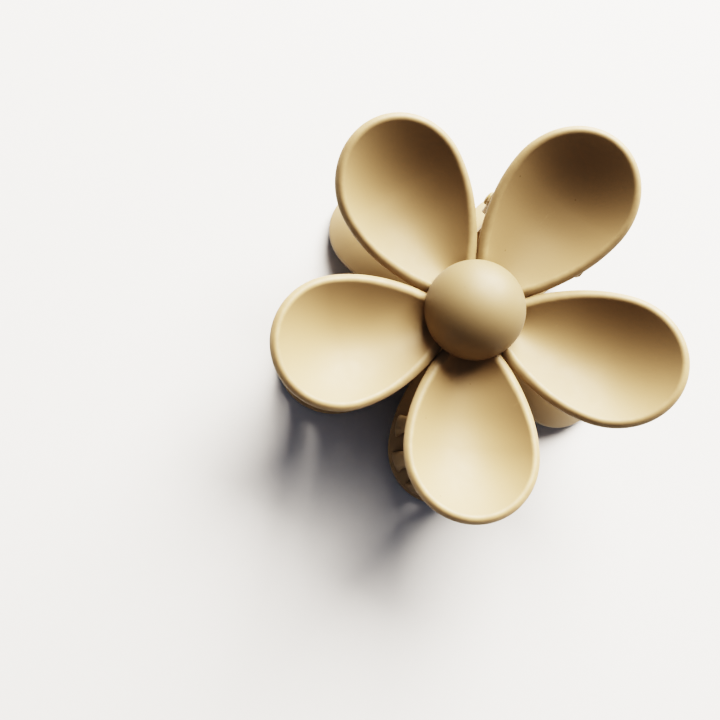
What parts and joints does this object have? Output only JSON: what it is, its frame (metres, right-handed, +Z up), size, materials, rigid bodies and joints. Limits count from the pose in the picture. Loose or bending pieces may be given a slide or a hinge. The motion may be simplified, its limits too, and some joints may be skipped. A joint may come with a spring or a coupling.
{
  "type": "flower hair clip",
  "caption": "Claw hair clip made of two spoon-petalled flowers set back to back on a sprung hinge, with curved jaw teeth and round centre domes.",
  "frame": {"origin": "middle of the closed clip's box in plan, on the surface that the rear flower's petal tips rest on", "axes": "+X along the hinge pin to the right of the handle petals, +Y from the jaws to the handle petals, +Z up out of the front flower"},
  "size_m": [0.0774, 0.0769, 0.0432],
  "materials": {
    "soft_touch_plastic": "matte soft-touch coat over moulded plastic",
    "coated_pin": "matte coat over steel",
    "spring_steel": "drawn spring wire, satin"
  },
  "bodies": {
    "rear_half": {"rear_hub": "soft_touch_plastic", "rear_dome": "soft_touch_plastic", "rear_petal_handle": "soft_touch_plastic", "rear_petal_side_left": "soft_touch_plastic", "rear_petal_side_right": "soft_touch_plastic", "rear_petal_jaw_left": "soft_touch_plastic", "rear_petal_jaw_right": "soft_touch_plastic", "rear_hinge_ears": "soft_touch_plastic", "rear_teeth_left": "soft_touch_plastic", "rear_teeth_right": "soft_touch_plastic", "hinge_pin": "coated_pin", "spring_coil": "spring_steel"},
    "front_half": {"front_hub": "soft_touch_plastic", "front_dome": "soft_touch_plastic", "front_petal_handle": "soft_touch_plastic", "front_petal_side_left": "soft_touch_plastic", "front_petal_side_right": "soft_touch_plastic", "front_petal_jaw_left": "soft_touch_plastic", "front_petal_jaw_right": "soft_touch_plastic", "front_hinge_ears": "soft_touch_plastic", "front_teeth_left": "soft_touch_plastic", "front_teeth_right": "soft_touch_plastic", "spring_front_arm": "spring_steel"}
  },
  "joints": [
    {"name": "jaw_hinge", "type": "hinge", "parent": "rear_half", "child": "front_half", "pos_m": [0, 0.02146, 0.0206], "axis": [-1, 0, 0], "range_deg": [0, 40], "stiffness_Nm_per_rad": 0.15, "springref_deg": -40.11}
  ]
}
